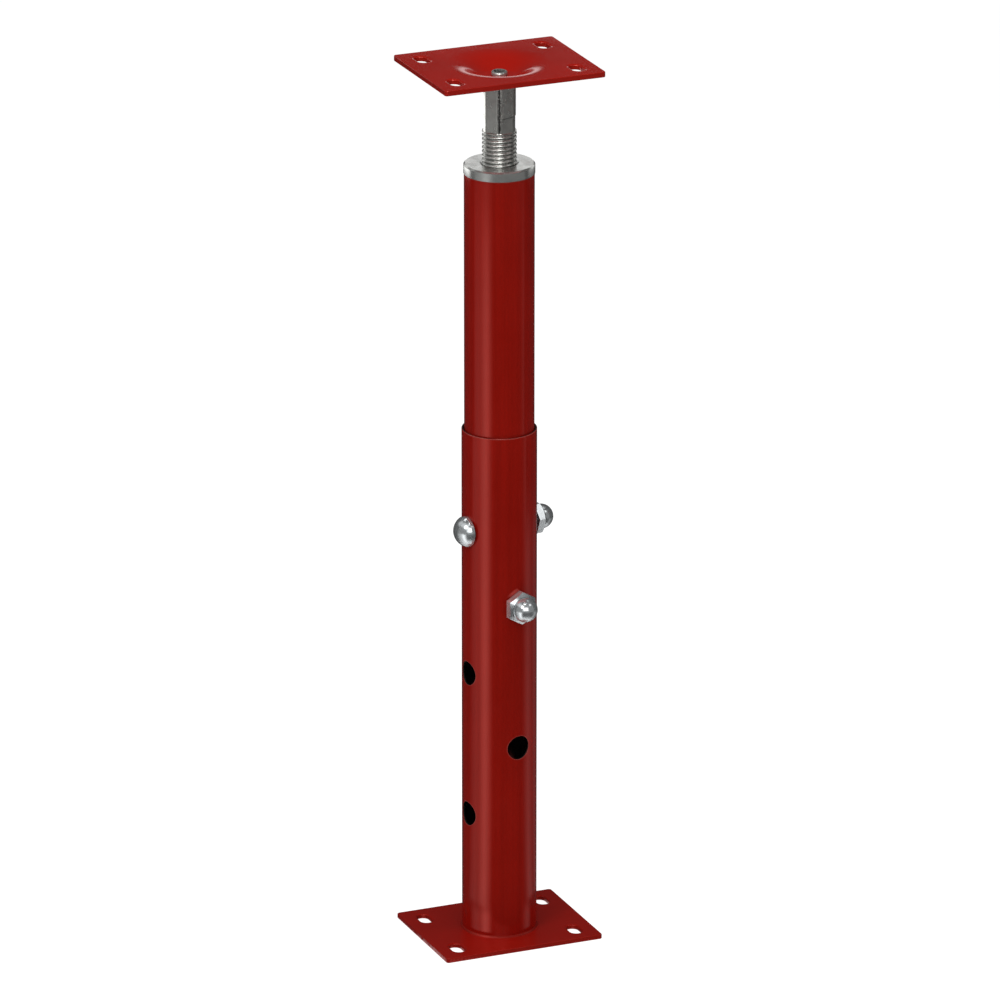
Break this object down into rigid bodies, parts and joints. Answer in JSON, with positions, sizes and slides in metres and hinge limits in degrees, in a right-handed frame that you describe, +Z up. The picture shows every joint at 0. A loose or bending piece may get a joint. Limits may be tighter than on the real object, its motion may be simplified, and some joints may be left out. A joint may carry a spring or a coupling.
{
  "type": "jack post",
  "caption": "Adjustable steel post for holding up a beam: bolted telescoping tubes, a jack screw in a threaded collar, and slotted top and base plates.",
  "frame": {"origin": "centre of the base plate's underside", "axes": "+Z up along the tubes, X along the plates' short sides, Y along their long sides"},
  "size_m": [0.136, 0.172, 0.9239],
  "materials": {
    "plate_paint": "satin red paint",
    "weld_paint": "satin red paint",
    "tube_paint": "satin red paint",
    "bright_plating": "bright zinc",
    "zinc_plating": "dull zinc",
    "screw_steel": "oiled steel"
  },
  "bodies": {
    "post": {"base_plate": "plate_paint", "base_weld": "weld_paint", "outer_tube": "tube_paint", "inner_tube": "tube_paint", "upper_bolt": "bright_plating", "upper_cap_nut": "bright_plating", "lower_bolt": "bright_plating", "lower_cap_nut": "bright_plating"},
    "collar": {"threaded_collar": "zinc_plating"},
    "head": {"top_plate": "plate_paint"},
    "screw": {"jack_screw": "screw_steel"}
  },
  "joints": [
    {"name": "head_swivel", "type": "hinge", "parent": "post", "child": "collar", "pos_m": [0, 0, 0.8213], "axis": [0, 0, 1], "continuous": true},
    {"name": "plate_lift", "type": "slide", "parent": "collar", "child": "head", "axis": [0, 0, 1], "range_m": [-0.0255, 0.0763]},
    {"name": "screw_turn", "type": "hinge", "parent": "head", "child": "screw", "pos_m": [0, 0, 0.8213], "axis": [0, 0, 1], "range_deg": [-2160, 6480]}
  ],
  "couplings": [
    {"joint": "plate_lift", "follows": "screw_turn", "m_per_rad": 0.00067376}
  ]
}
